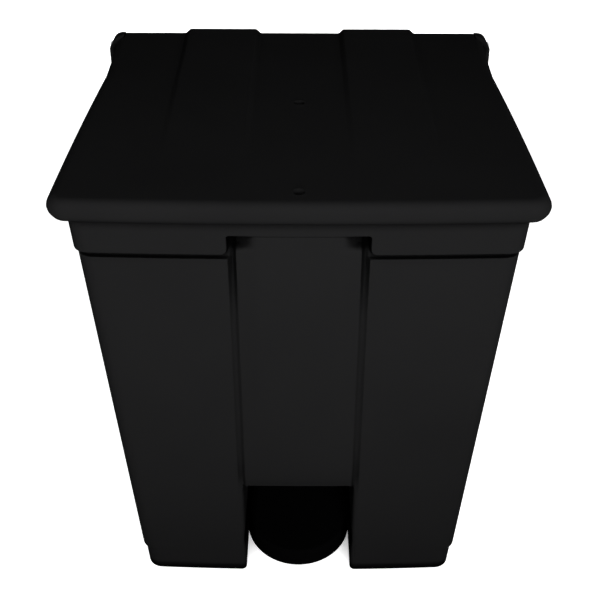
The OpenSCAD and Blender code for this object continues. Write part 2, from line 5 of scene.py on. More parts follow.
import bmesh
import bpy
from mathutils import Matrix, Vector


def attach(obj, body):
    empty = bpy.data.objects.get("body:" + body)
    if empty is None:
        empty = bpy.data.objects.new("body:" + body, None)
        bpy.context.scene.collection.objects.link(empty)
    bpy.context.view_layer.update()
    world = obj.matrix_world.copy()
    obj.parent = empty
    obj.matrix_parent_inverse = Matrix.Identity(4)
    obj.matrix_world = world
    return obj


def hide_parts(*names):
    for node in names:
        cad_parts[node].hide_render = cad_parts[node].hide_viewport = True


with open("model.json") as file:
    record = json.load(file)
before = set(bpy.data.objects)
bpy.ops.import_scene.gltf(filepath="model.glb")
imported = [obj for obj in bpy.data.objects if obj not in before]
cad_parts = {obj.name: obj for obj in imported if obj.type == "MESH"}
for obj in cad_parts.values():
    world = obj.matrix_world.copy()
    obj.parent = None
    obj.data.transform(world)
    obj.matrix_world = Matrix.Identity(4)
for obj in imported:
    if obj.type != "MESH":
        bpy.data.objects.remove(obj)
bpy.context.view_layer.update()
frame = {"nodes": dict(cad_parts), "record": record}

MM = 0.001
TAU = 2 * math.pi
SHARP, LID_SHARP = 32, 40  # degrees at which an edge is drawn sharp

# ---- Sizes in millimetres ----
# Most are those of the part's source. The collar, the grooves, the lid's crown and the ears follow
# the photo instead.
HINGE_Y, HINGE_Z = 186.8, 416.8
TILT = math.radians(0.73)  # of the shut lid and of the rim
SIDE_CROWN = 2.4  # bulge of the sides of tub and lid
TUB_CROWN, TUB_FLARE = 4.0, 3.6
TAN_SIDE, TAN_FRONT = math.tan(math.radians(3.7)), math.tan(math.radians(4.4))

LID_REAR_HW, LID_FLARE, LID_CROWN = 183.7, 4.0, 4.5
LID_HW, LID_FRONT, LID_BACK = LID_REAR_HW + LID_FLARE, -391.8, -16.0
LID_R, LID_WALL, LID_LIP, LID_CORNER = 9.5, 3.0, 8.5, 16.0
LID_TOP, EDGE_Z = 14.0, 4.5
BAND_IN, BAND_OUT, BAND_H, BAND_LEN = 41.0, 120.5, 4.2, 307.0
BAND_EDGE = 5  # width of a strip's sloping edge
KNUCKLE_IN, KNUCKLE_IN_FRONT = 157.7, 158.0

RIM_RISE = 10.6  # from the hinge line up to the rim's plane
RIM_Z = HINGE_Z + RIM_RISE * math.cos(TILT) + LID_FRONT * math.sin(TILT)
RIM_HW, RIM_FRONT, RIM_BACK = 177.2, -194.9, 162.6
COLLAR_Z, COLLAR_STEP = 375.1, 2.6
FOOT_Z, FOOT_STEP = 27.0, 2.3
STEP_LEN = 1.6  # height over which the collar's and the foot's steps happen
TUB_R, TUB_WALL, FLOOR_EDGE = 13.0, 3.0, 1.6
TUNNEL_HW, TUNNEL_TOP, TUNNEL_R, TUNNEL_FLARE = 51.0, 115.0, 6.0, 1.8

# Relief on the tub's front
OPENING_R = 5.0  # soft edge of the opening
GROOVE_OUT, GROOVE_IN = 55.5, 49.0
GROOVE_SPREAD, GROOVE_POWER = 0.9, 1.4
GROOVE_DEPTH, GROOVE_TOP_MORE, GROOVE_LOW_MORE = 1.5, 1.5, 0.9
NOTCH_TOP = COLLAR_Z + 17.1
NOTCH_R, COLLAR_R, COLLAR_EDGE = 1.5, 5.0, 1.7
POCKET_DEPTH, POCKET_IN, POCKET_FADE, POCKET_H = 6.0, 34, 11, 15
UNDER_COLLAR_DEPTH, UNDER_COLLAR_H = 1.9, 4.9
SEAM_DEPTH, SEAM_HW = 0.35, 0.7
BLEND_Z = NOTCH_TOP + 9.4  # above this the rings tilt towards the rim


# ---- Small helpers ----
def smooth(t):
    """0 below 0, 1 above 1, with a smooth rise between."""
    t = min(max(t, 0.0), 1.0)
    return t * t * (3 - 2 * t)


def span(a, b, n):
    """n + 1 evenly spaced values from a to b."""
    return [a + (b - a) * i / n for i in range(n + 1)]


def cos_deg(a):
    return math.cos(math.radians(a))


def sin_deg(a):
    return math.sin(math.radians(a))


def arc(cx, cy, r, start, n):
    """Points of a quarter circle, counter-clockwise from the angle start."""
    return [
        (cx + r * cos_deg(start + 90 * i / n), cy + r * sin_deg(start + 90 * i / n))
        for i in range(n + 1)
    ]


def mirrored(values):
    """Rising values from -x to x, out of the rising values of x from 0 up."""
    return [-v for v in reversed(values) if v > 0] + list(values)


def new_object(name, points, faces, sharp):
    """A smooth-shaded mesh object out of points in millimetres."""
    mesh = bpy.data.meshes.new(name)
    mesh.from_pydata([tuple(c * MM for c in p) for p in points], [], faces)
    bm = bmesh.new()
    bm.from_mesh(mesh)
    bmesh.ops.remove_doubles(bm, verts=bm.verts, dist=1e-6)
    bmesh.ops.recalc_face_normals(bm, faces=bm.faces)
    bm.to_mesh(mesh)
    bm.free()
    mesh.shade_smooth()
    mesh.set_sharp_from_angle(angle=math.radians(sharp))
    obj = bpy.data.objects.new(name, mesh)
    bpy.context.scene.collection.objects.link(obj)
    return obj


def loft(rings, closed, caps, start):
    """Points of rings of equally many points, the faces between them, and flat caps at the ends."""
    n = len(rings[0])
    faces = []
    for r in range(len(rings) - 1):
        for i in range(n if closed else n - 1):
            j = (i + 1) % n
            a = start + r * n
            faces.append((a + i, a + j, a + n + j, a + n + i))
    if caps:
        faces.append(tuple(start + i for i in reversed(range(n))))
        faces.append(tuple(start + (len(rings) - 1) * n + i for i in range(n)))
    return [p for ring in rings for p in ring], faces


class Shape:
    """Collects lofts into one mesh."""

    def __init__(self):
        self.points, self.faces = [], []

    def add(self, rings, closed=True, caps=True):
        points, faces = loft(rings, closed, caps, len(self.points))
        self.points += points
        self.faces += faces

    def add_sheet(self, rows):
        self.add(rows, closed=False, caps=False)

    def build(self, name, sharp=SHARP):
        return new_object(name, self.points, self.faces, sharp)


def solid(name, rings):
    shape = Shape()
    shape.add(rings)
    return shape.build(name)


def inset_loop(loop, d):
    """A closed counter-clockwise convex loop, moved inward by d."""
    out = []
    n = len(loop)
    for i in range(n):
        (ax, ay), (bx, by), (cx, cy) = loop[i - 1], loop[i], loop[(i + 1) % n]
        l1, l2 = math.hypot(bx - ax, by - ay), math.hypot(cx - bx, cy - by)
        n1 = (-(by - ay) / l1, (bx - ax) / l1)
        n2 = (-(cy - by) / l2, (cx - bx) / l2)
        k = 1 + n1[0] * n2[0] + n1[1] * n2[1]
        out.append((bx + d * (n1[0] + n2[0]) / k, by + d * (n1[1] + n2[1]) / k))
    return out


def rounded_loop(x0, y0, x1, y1, r):
    """A rounded rectangle, counter-clockwise."""
    out = []
    for cx, cy, start in (
        (x1 - r, y0 + r, -90), (x1 - r, y1 - r, 0), (x0 + r, y1 - r, 90), (x0 + r, y0 + r, 180)
    ):
        out += arc(cx, cy, r, start, 6)
    return out


def prism_rings(loop, t0, t1, place, r0, r1, steps=4):
    """Rings of a straight bar with rounded ends; place(u, v, t) puts a loop's point at x, y, z."""
    rings = []
    for a in span(90, 0, steps) if r0 else [0]:
        d, t = r0 * (1 - cos_deg(a)), t0 + r0 * (1 - sin_deg(a))
        rings.append([place(u, v, t) for u, v in inset_loop(loop, d)])
    for a in span(0, 90, steps) if r1 else [0]:
        d, t = r1 * (1 - cos_deg(a)), t1 - r1 * (1 - sin_deg(a))
        rings.append([place(u, v, t) for u, v in inset_loop(loop, d)])
    return rings


def along_y(u, v, t):
    return (u, t, v)


def along_z(u, v, t):
    return (u, v, t)


def cut(obj, cutters):
    """obj minus each cutter, with the cutters then removed."""
    for c in cutters:
        m = obj.modifiers.new("cut", "BOOLEAN")
        m.operation, m.solver, m.object = "DIFFERENCE", "EXACT", c
    evaluated = obj.evaluated_get(bpy.context.evaluated_depsgraph_get())
    mesh = bpy.data.meshes.new_from_object(evaluated)
    obj.modifiers.clear()
    obj.data = mesh
    mesh.shade_smooth()
    mesh.set_sharp_from_angle(angle=math.radians(SHARP))
    for c in cutters:
        bpy.data.objects.remove(c)
    return obj


# ---- The tub's outline, with bulging front and sides ----
FRONT_X = mirrored(
    [0, 8, 16, 24, 28, 31, 34, 37, 40, 42, 44, 45.5, 46.8, 47.8, 48.4, 48.8, 49.2, 49.6, 50, 50.5,
     51.5, 52.7, 53.6, 54, 54.4, 54.8, 55.2, 55.6, 56, 56.4, 56.9, 57.4, 58, 58.7, 59.5, 61, 63, 65]
)
SIDE_N, CORNER_N, OUTER_N = 24, 10, 10  # pieces of a side, a corner and the front beyond FRONT_X


def outline(hw, y0, y1, r):
    """Counter-clockwise from the rear right corner; every call gives equally many points."""
    base = y0 + TUB_CROWN
    yc, hd = (base + y1) / 2, (y1 - base) / 2
    edge, inner = hw - r, FRONT_X[-1]
    front = [-v for v in span(edge, inner, OUTER_N)[1:-1]]
    front += FRONT_X + span(inner, edge, OUTER_N)[1:-1]
    points = arc(hw - r, y1 - r, r, 0, CORNER_N)
    points += [(x, y1) for x in reversed(front)]
    points += arc(-hw + r, y1 - r, r, 90, CORNER_N)
    points += [(-hw, y) for y in span(y1 - r, base + r, SIDE_N)[1:-1]]
    points += arc(-hw + r, base + r, r, 180, CORNER_N)
    points += [(x, base) for x in front]
    points += arc(hw - r, base + r, r, 270, CORNER_N)
    points += [(hw, y) for y in span(base + r, y1 - r, SIDE_N)[1:-1]]
    out = []
    for x, y in points:
        ahead = (yc - y) / hd
        push = TUB_CROWN * max(ahead, 0) * (1 - (x / hw) ** 2)
        bulge = SIDE_CROWN * (1 - ahead**2) + TUB_FLARE * ahead
        out.append((x + (x / hw) * bulge, y - push))
    return out


# ---- Relief on the tub's front ----
def round_and(a, b, r):
    """Inside distance of two regions' overlap, with a rounded corner."""
    if a < r and b < r:
        return r - math.hypot(r - a, r - b)
    return min(a, b)


def collar_mask(x, z):
    """1 on the proud collar and 0 below it and in the front panel's notch."""
    notch = -round_and(GROOVE_OUT - abs(x), NOTCH_TOP - z, NOTCH_R)
    d = round_and(z - COLLAR_Z, notch, COLLAR_R)
    return smooth(d / COLLAR_EDGE + 0.5)


def above_opening(z):
    """0 beside the opening and 1 above it."""
    return smooth((z - TUNNEL_TOP + 2) / 8)


def channel_depth(x, z):
    """The soft channel beside the front panel: deeper under its pocket and just above the opening."""
    t = (2 * abs(x) - GROOVE_OUT - GROOVE_IN) / (GROOVE_OUT - GROOVE_IN + GROOVE_SPREAD)
    across = max(1 - t * t, 0.0) ** GROOVE_POWER
    top = GROOVE_TOP_MORE * smooth((z - 305) / 70)
    low = GROOVE_LOW_MORE * smooth((165 - z) / 50)
    return across * (GROOVE_DEPTH + top + low) * above_opening(z)


def edge_round(x, z):
    """The soft edges of the opening, where the channels run out."""
    t = OPENING_R - (abs(x) - TUNNEL_HW)
    if t <= 0:
        return 0.0
    drop = OPENING_R - math.sqrt(max(OPENING_R**2 - min(t, OPENING_R) ** 2, 0.0))
    return drop * (1 - above_opening(z))


def pocket_depth(x, z):
    """The hollow at the top of each channel, which fades inward and down; the plastic's painted
    crevice shade makes it dark.
    """
    across = smooth((GROOVE_OUT + 0.3 - abs(x)) / 1.5) * smooth((abs(x) - POCKET_IN) / POCKET_FADE)
    return POCKET_DEPTH * across * smooth((z - NOTCH_TOP + POCKET_H) / 7)


def panel_crown(x, z):
    """The panel stands out to the collar's face, apart from its sides, and less so lower down."""
    return COLLAR_STEP * smooth((GROOVE_IN - abs(x)) / 20) * smooth((z - 125) / 150)


def under_collar(x, z):
    """A shallow channel right under the collar, from the middle of each groove outward."""
    if abs(x) <= (GROOVE_IN + GROOVE_OUT) / 2:
        return 0.0
    return UNDER_COLLAR_DEPTH * smooth((z - COLLAR_Z + UNDER_COLLAR_H) / 1.6)


def front_offset(x, z):
    """How far the front stands proud of the wall's plane under the collar, at x and z."""
    mask = collar_mask(x, z)
    channel = max(channel_depth(x, z), under_collar(x, z))
    relief = panel_crown(x, z) - channel - pocket_depth(x, z) - edge_round(x, z)
    seam = 0.0
    if abs(x) < GROOVE_OUT:
        seam = SEAM_DEPTH * max(1 - abs(z - NOTCH_TOP) / SEAM_HW, 0.0)
    return COLLAR_STEP * mask + (1 - mask) * relief - seam


def inner_offset(x, z, below):
    """The same on the inside, where the wall is thicker behind the grooves and the notch."""
    near = 1 - smooth((abs(x) - GROOVE_OUT - 1) / 3.0)
    thicker = 5.0 + 3.0 * smooth((z - NOTCH_TOP + 26) / 8)
    return COLLAR_STEP * (1 - below) * (1 - near) - near * thicker


# ---- Tub ----
def rim_height(y):
    """Height of the rim's plane, parallel to the shut lid."""
    return HINGE_Z + RIM_RISE / math.cos(TILT) + (y - HINGE_Y) * math.tan(TILT)


def tub_ring(z, inset, inner):
    """One ring of the tub's outer or inner wall at height z."""
    rise = RIM_Z - z
    below = 1 - smooth((z - COLLAR_Z) / STEP_LEN + 0.5)
    foot = 1 - smooth((z - FOOT_Z) / STEP_LEN + 0.5)
    side = rise * TAN_SIDE + COLLAR_STEP * below + FOOT_STEP * foot + inset
    plain = rise * TAN_FRONT + COLLAR_STEP + inset
    back = rise * TAN_FRONT + COLLAR_STEP * below + inset
    r = max(TUB_R - inset, 2.0)
    y_front = RIM_FRONT + plain + TUB_CROWN + r
    out = []
    for x, y in outline(RIM_HW - side, RIM_FRONT + plain, RIM_BACK - back, r):
        ahead = smooth((y_front - y) / r)
        if ahead > 0:
            y -= (inner_offset(x, z, below) if inner else front_offset(x, z)) * ahead
        out.append((x, y))
    return out


COLLAR_LEVELS = (-8, -5.6, -4.9, -4.4, -3.9, -3.2, -2, -1, -0.6, -0.35, -0.1, 0.15, 0.4, 0.65,
                 1, 1.6, 2.4, 3.4, 4.4, 5.6, 7, 8.5, 10, 11.5)
NOTCH_LEVELS = (-5.6, -4, -2.6, -1.6, -1, -0.6, -0.35, -0.1, 0.15, 0.4, 0.65, 1.2, 2.2, 3.6)


def wall_levels():
    """Heights of the rings, close together where the wall has a step."""
    levels = [0, 0.4, 1.0, 1.6] + span(6, 24, 3) + [25.6, 26.2, 26.8, 27.4, 28.4]
    levels += span(36, 108, 8) + span(118, COLLAR_Z - 11, 20)
    levels += [COLLAR_Z + d for d in COLLAR_LEVELS] + [NOTCH_TOP + d for d in NOTCH_LEVELS]
    return levels + [BLEND_Z - 3, BLEND_Z]


def tub_rings(inner):
    """All rings of the outer or inner wall, up to the tilted rim and, inside, past it."""
    inset = bottom = TUB_WALL if inner else 0
    rings = []
    for z in wall_levels():
        if z < bottom:
            continue
        drop = max(FLOOR_EDGE - z, 0)
        rounding = 0.0 if inner else FLOOR_EDGE - math.sqrt(max(FLOOR_EDGE**2 - drop**2, 0))
        rings.append([(x, y, z) for x, y in tub_ring(z, inset + rounding, inner)])
    if inner:
        rings.insert(0, [(x, y, bottom) for x, y in tub_ring(bottom, inset + 2.0, True)])
        rings[1] = [(x, y, bottom + 0.8) for x, y in tub_ring(bottom + 0.8, inset + 0.6, True)]
    for k in (0.3, 0.6, 0.85, 1.0):
        flat = tub_ring(BLEND_Z + (RIM_Z - BLEND_Z) * k, inset, inner)
        rings.append([(x, y, BLEND_Z + (rim_height(y) - BLEND_Z) * k) for x, y in flat])
    if inner:
        rings.append([(x, y, z + 20) for x, y, z in rings[-1]])
    else:
        rings[-1] = [(x, y, z - 1.0) for x, y, z in rings[-1]]
        rings.append([(x, y, rim_height(y)) for x, y in tub_ring(RIM_Z, inset + 0.9, inner)])
    return rings


def tunnel_section(grow):
    """The tunnel's outline seen along Y: open floor, rounded upper corners."""
    r, corner_z = TUNNEL_R + grow, TUNNEL_TOP - TUNNEL_R
    loop = [(TUNNEL_HW + grow, z) for z in span(-60, corner_z, 20)[:-1]]
    loop += arc(TUNNEL_HW - TUNNEL_R, corner_z, r, 0, 8)
    loop += arc(-TUNNEL_HW + TUNNEL_R, corner_z, r, 90, 8)
    return loop + [(-TUNNEL_HW - grow, z) for z in span(corner_z, -60, 20)[1:]]


def front_face(x, z):
    """Y of the tub's front at x and z, under the collar."""
    plane = RIM_FRONT + (RIM_Z - z) * TAN_FRONT + COLLAR_STEP
    return plane - front_offset(x, z) + TUB_CROWN * (x / 150) ** 2


def back_face(x, z):
    """Y of the tub's back at z, under the collar."""
    return RIM_BACK - (RIM_Z - z) * TAN_FRONT - COLLAR_STEP


def tunnel_rings(grow, flare):
    """The tunnel's inside as a solid; flare rounds its edges at the sloping front and back."""
    rings = []
    for face, way in ((front_face, -1), (back_face, 1)):
        ends = []
        for a in span(0, 90, 5) if flare else [90]:
            depth, extra = flare * (1 - cos_deg(a)), flare * (1 - sin_deg(a))
            section = tunnel_section(grow + extra)
            ends.append([(x, face(x, z) - way * depth, z) for x, z in section])
        ends.insert(0, [(x, y + way * 30, z) for x, y, z in ends[0]])
        rings += ends if way < 0 else list(reversed(ends))
    return rings


def make_tub():
    body = solid("tub_shell", tub_rings(False))
    cavity = solid("cavity", tub_rings(True))
    cut(cavity, [solid("hump", tunnel_rings(TUB_WALL, 0.0))])
    return cut(body, [cavity, solid("tunnel", tunnel_rings(0.0, TUNNEL_FLARE))])


# ---- Ears, shoulders, cradles and pads on the tub ----
EAR_R, EAR_TOP, EAR_ROUND, EAR_FOOT = 15.0, 14.0, 15.5, 372.9
EAR_OUT, EAR_EDGE = 197.7, 2  # where an ear's outer edge starts to round, and its radius
BIN_HW = 200
FITTING_R = 3
# x0, y0, x1, y1 seen from above, and z
SHOULDER, SHOULDER_Z = (158, 172, 190, 201.6), (372.8, 398.8)
WEB, WEB_Z = (140, 152, 166, 201.3), (373.1, 398.5)
# x0, z0, x1, z1 seen from the front, and y
GUIDE_PAD, GUIDE_PAD_Y = (61, 296, 97, 340), (149, 155.8)
# y0, z0, y1, z1 seen from the side, and x
CRADLE, CRADLE_X = (2, 20, 38, 50), (38.5, 51.5)


def ear_height(t):
    """Top of an ear at t from the bin's middle: level, then down round its outer corner."""
    over = max(t - (BIN_HW - EAR_ROUND), 0.0)
    return HINGE_Z + EAR_TOP - EAR_ROUND + math.sqrt(max(EAR_ROUND**2 - over**2, 0.0))


def ear_rings(side):
    """Rings round an ear from its inner face out."""
    rings = []
    spans = [(184.5, 0.4), (184.6, 0.1), (185.0, 0.0)] + [(t, 0.0) for t in span(186, 197, 11)]
    spans += [(EAR_OUT + EAR_EDGE * sin_deg(a), EAR_EDGE * (1 - cos_deg(a))) for a in span(0, 90, 6)]
    for t, inset in spans:
        half, top = EAR_R - inset, min(ear_height(t), HINGE_Z + EAR_R - inset)
        loop = [(HINGE_Y - half, z) for z in span(EAR_FOOT, HINGE_Z - 2, 6)]
        loop += [
            (HINGE_Y - half * cos_deg(a), HINGE_Z + half * sin_deg(a)) for a in span(0, 180, 28)
        ]
        loop += [(HINGE_Y + half, z) for z in span(HINGE_Z - 2, EAR_FOOT, 6)]
        rings.append([(side * t, y, min(z, top)) for y, z in loop])
    return rings


def side_loop(side, box):
    """A rounded rectangle, mirrored for the left side and still counter-clockwise."""
    loop = rounded_loop(*box, FITTING_R)
    return loop if side > 0 else [(-x, y) for x, y in reversed(loop)]


def make_fittings():
    shape = Shape()
    for side in (-1, 1):
        def outward(u, v, t, side=side):
            return (side * t, u, v)

        shape.add(ear_rings(side))
        for box, heights in ((SHOULDER, SHOULDER_Z), (WEB, WEB_Z)):
            shape.add(prism_rings(side_loop(side, box), *heights, along_z, 2.0, 2.0))
        shape.add(prism_rings(side_loop(side, GUIDE_PAD), *GUIDE_PAD_Y, along_y, 0, 1.0))
        shape.add(prism_rings(rounded_loop(*CRADLE, FITTING_R), *CRADLE_X, outward, 0.8, 0))
    return shape.build("tub_fittings")


# ---- Lid, in a frame of its own with the hinge line at zero ----
# (share of the way across a strip's sloping edge, share of the strip's height)
EDGE_RISE = [(-0.3, 0.0), (-0.1, 0.01), (0.08, 0.07), (0.22, 0.2), (0.5, 0.5), (0.78, 0.8),
             (0.92, 0.93), (1.1, 0.99), (1.3, 1.0)]
FLAT_HW = LID_HW - LID_R
FLAT_BASE = LID_FRONT + LID_R + LID_CROWN
CORNER = LID_CORNER - LID_R
OUTER_SHARE = [0.3, 0.6, 0.85, 1.0]
COLUMN_LEN = 380  # a column's two x values lie this far apart along the lid
DIMPLES = (FLAT_BASE + 12.5, LID_FRONT / 2 + 4.5)
DIMPLE_DEPTH, DIMPLE_LIP = 1.3, 0.25
EDGE_POWER = 0.74  # flattens the front of the rolled edge
BOSS_X, BOSS_GAP, BOSS_Y, BOSS_R, BOSS_Z = 69, 11, -12, 4, (10.0, 16.2)


def lid_place(x, y, z):
    """From the lid's own frame to the scene's."""
    return (
        x,
        HINGE_Y + y * math.cos(TILT) - z * math.sin(TILT),
        HINGE_Z + y * math.sin(TILT) + z * math.cos(TILT),
    )


def half_columns():
    """(x at the hinge line, x at the front, height share) from the middle to the knuckle."""
    front = BAND_OUT - BAND_EDGE * COLUMN_LEN / BAND_LEN
    inner = [BAND_IN + BAND_EDGE * s for s, _ in EDGE_RISE]
    columns = [(x, x, 0.0) for x in (0, 1.2, 2.4, 3.6, 4.8, 6, 10, 20, 30, 37)]
    columns += [(x, x, h) for x, (_, h) in zip(inner, EDGE_RISE)]
    columns += [(x, x - 1.5, 1.0) for x in (56, 68, 80, 92, 102)]
    columns += [
        (BAND_OUT - BAND_EDGE * s, front - BAND_EDGE * s, h) for s, h in reversed(EDGE_RISE)
    ]
    columns += [(x, x - 2, 0.0) for x in (125, 132, 140, 149)]
    columns.append((KNUCKLE_IN, KNUCKLE_IN_FRONT, 0.0))
    return columns


def half_row(y):
    """(x, height share) at y, from the middle to the right."""
    return [(a + (b - a) * -y / COLUMN_LEN, h) for a, b, h in half_columns()]


def both_halves(right):
    return [(-x, h) for x, h in reversed(right[1:])] + right


def strip_height(y):
    """How far the raised strips stand above the lid's top."""
    return BAND_H * min(max((y + BAND_LEN) / BAND_LEN, 0.0), 1.0)


def flat_rows():
    """(y, half width of the flat) from the front edge back, close together at the dimples."""
    levels = [FLAT_BASE + CORNER * (1 - cos_deg(a)) for a in span(0, 90, 6)]
    levels += [-350, -335, -320] + span(-BAND_LEN, -20, 34) + [LID_BACK]
    in_corner = FLAT_BASE + CORNER
    levels = [y for y in levels if all(abs(y - at) > 7 for at in DIMPLES) or y < in_corner]
    levels += [at + d for at in DIMPLES for d in span(-6, 6, 10) if at + d > FLAT_BASE + 0.2]
    rows = []
    for y in sorted(levels):
        short = max(CORNER - (y - FLAT_BASE), 0.0)
        rows.append((y, FLAT_HW - CORNER + math.sqrt(max(CORNER**2 - short**2, 0.0))))
    return rows


def dimple(x, y):
    """Depth of the two small round marks left by the mould, each with a faint lip."""
    near = min(math.hypot(x, y - at) for at in DIMPLES)
    lip = DIMPLE_LIP * smooth((6.4 - near) / 1.2) * smooth((near - 3.6) / 1.4)
    return DIMPLE_DEPTH * smooth((5.2 - near) / 3.2) - lip


def bulged(x, y):
    """The lid's crowned front and sides; the strips' own columns stay straight."""
    yc, hd = (FLAT_BASE + LID_BACK) / 2, (LID_BACK - FLAT_BASE) / 2
    ahead = (yc - y) / hd
    bulge = SIDE_CROWN * (1 - ahead**2) + LID_FLARE * ahead
    side = bulge * smooth((abs(x) - 125) / 50)
    push = LID_CROWN * max(ahead, 0) * (1 - (x / FLAT_HW) ** 2)
    return x + math.copysign(side, x), y - push


def flat_grid():
    """Rows of (x, y, rise, dimple) over the lid's flat, from its left to its right."""
    grid = []
    for y, hw in flat_rows():
        right = half_row(y)
        last = right[-1][0]
        right += [(last + (hw - last) * s, 0.0) for s in OUTER_SHARE]
        row = both_halves(right)
        grid.append([bulged(x, y) + (h * strip_height(y), dimple(x, y)) for x, h in row])
    return grid


def border(grid):
    """The flat's edge from rear left, round the front, to rear right, with outward directions."""
    path = [row[0][:2] for row in reversed(grid)]
    path += [p[:2] for p in grid[0][1:-1]] + [row[-1][:2] for row in grid]
    out = []
    for i, (x, y) in enumerate(path):
        (ax, ay), (bx, by) = path[max(i - 1, 0)], path[min(i + 1, len(path) - 1)]
        length = math.hypot(bx - ax, by - ay)
        normal = ((by - ay) / length, -(bx - ax) / length)
        if i in (0, len(path) - 1):
            normal = (math.copysign(1, x), 0.0)
        out.append((x, y) + normal)
    return out


def edge_ring(path, r, a, power=1.0):
    """The rolled edge at angle a of a half circle of radius r; a lower power flattens its front."""
    c, s = cos_deg(a), sin_deg(a)
    points = []
    for x, y, nx, ny in path:
        p = 1 + (power - 1) * smooth((-ny - 0.6) / 0.4)
        out, up = abs(c) ** p, r * math.copysign(abs(s) ** p, s)
        points.append(lid_place(x + nx * r * out, y + ny * r * out, EDGE_Z + up))
    return points


def lip_angle(lip, r):
    """Where a rolled edge of radius r ends, with the lip hanging that far down."""
    return -math.degrees(math.acos(1 - lip / r))


def edge_rings(path):
    """The rolled edge: out over its outside, then back up its inside."""
    bore = LID_R - LID_WALL
    end, inner_end = lip_angle(LID_LIP, LID_R), lip_angle(LID_LIP - LID_WALL, bore)
    rings = [edge_ring(path, LID_R, a, EDGE_POWER) for a in [90, 87] + span(83, end, 26)]
    return rings + [edge_ring(path, bore, a) for a in span(inner_end, 90, 16)]


def barrel_rows(r):
    """The lid's rear as rows of points: flat up to the hinge line, then round it."""
    rows = []
    for y in (LID_BACK, -8.0, 0.0):
        row = both_halves(half_row(y))
        rows.append([(x, y, r + h * strip_height(y)) for x, h in row])
    for a in span(90, -20, 22)[1:]:
        c, s = cos_deg(a), sin_deg(a)
        rows.append([(x, (r + h * BAND_H) * c, (r + h * BAND_H) * s) for x, h in row])
    return rows


def knuckle_loop():
    """The hinge knuckle seen from the side."""
    loop = [(LID_BACK, EDGE_Z - LID_R)]
    loop += [(LID_TOP * cos_deg(a), LID_TOP * sin_deg(a)) for a in span(-90, 90, 24)]
    loop.append((LID_BACK, LID_TOP))
    return loop


def boss_rings(x):
    """A round boss inside a raised strip, for one of the link's screws."""
    ring = [
        (x + BOSS_R * math.cos(TAU * i / 24), BOSS_Y + BOSS_R * math.sin(TAU * i / 24))
        for i in range(24)
    ]
    return [[lid_place(u, v, z) for u, v in ring] for z in BOSS_Z]


def make_lid():
    shape = Shape()
    grid = flat_grid()
    for top, mark in ((LID_TOP, 1), (LID_TOP - LID_WALL, 0)):
        shape.add_sheet([[lid_place(x, y, top + h - mark * d) for x, y, h, d in row] for row in grid])
    shape.add_sheet(edge_rings(border(grid)))
    rows = barrel_rows(LID_TOP) + list(reversed(barrel_rows(LID_TOP - LID_WALL)))
    shape.add_sheet([[lid_place(*p) for p in row] for row in rows])
    for side in (-1, 1):
        def outward(u, v, t, side=side):
            return lid_place(side * t, u, v)

        knuckle = knuckle_loop()
        shape.add(prism_rings(knuckle, KNUCKLE_IN, LID_REAR_HW, outward, 0.4, 1.0, 6))
        for gap in (-BOSS_GAP, BOSS_GAP):
            shape.add(boss_rings(side * (BOSS_X + gap)))
    return shape.build("lid_shell", LID_SHARP)


# ---- Pedal tread ----
AXLE_Y, AXLE_Z = 20.0, 30.0
NOSE_Y, NOSE_Z, NOSE_LEN = -189.5, 38, 60.0
TREAD_HW, TREAD_LEN, TREAD_RIM, TREAD_TOP, ARM_RISE = 49.5, 140.0, 17.0, 5.0, 8.0
TREAD_ROUND, TREAD_LOW = 3.2, 0.02  # top edge's radius, and how far the top is kept down
LEVER_LEN = AXLE_Y - NOSE_Y
ARM_SLOPE = math.asin((NOSE_Z - AXLE_Z + TREAD_RIM - TREAD_TOP - ARM_RISE) / LEVER_LEN)


def lever_place(x, y, z):
    """From the lever's frame, with the axle at zero, to the scene's."""
    c, s = math.cos(-ARM_SLOPE), math.sin(-ARM_SLOPE)
    return (x, AXLE_Y + y * c - z * s, AXLE_Z + y * s + z * c)


def tread_loop(inset):
    """The tread from above: half an ellipse, then straight sides and a straight back."""
    hw, nose = TREAD_HW - inset, NOSE_LEN - inset
    mid, back = -LEVER_LEN + NOSE_LEN, -LEVER_LEN + TREAD_LEN - inset
    loop = [(hw * cos_deg(a), mid + nose * sin_deg(a)) for a in span(180, 360, 60)]
    loop += [(hw, y) for y in span(mid, back, 12)[1:]]
    loop += [(x, back) for x in span(hw, -hw, 12)[1:]]
    loop += [(-hw, y) for y in span(back, mid, 12)[1:-1]]
    return loop


def make_tread():
    top = ARM_RISE + TREAD_TOP
    lip = top - TREAD_RIM
    levels = [(3.0, top - TREAD_TOP), (3.0, lip + 0.4), (2.6, lip), (0.4, lip), (0.0, lip + 0.5)]
    for a in span(0, 90, 7):
        z = top - TREAD_ROUND + TREAD_ROUND * sin_deg(a) - TREAD_LOW
        levels.append((TREAD_ROUND * (1 - cos_deg(a)), z))
    rings = [[lever_place(x, y, z) for x, y in tread_loop(inset)] for inset, z in levels]
    return solid("tread_pad", rings)


# ---- Materials ----
NOISE_STOPS = (0.3, 0.7)  # where a noise ramp starts and ends
PAINTED_SHADE_REACH = 0.012  # metres; reach of the painted crevice shade, small, so that the inside of the bin isn't baked black
# Painted shade: how far ambient occlusion darkens the plastic's colour
PAINTED_SHADE_STOPS = [(0.55, 0.06), (0.82, 0.34), (0.96, 1.0)]
PLASTIC_ROUGH, ROUGH_VARY = 0.6, 0.03
# No reflection: the white surroundings would make the lid's top too bright
PLASTIC_SPECULAR = 0.0


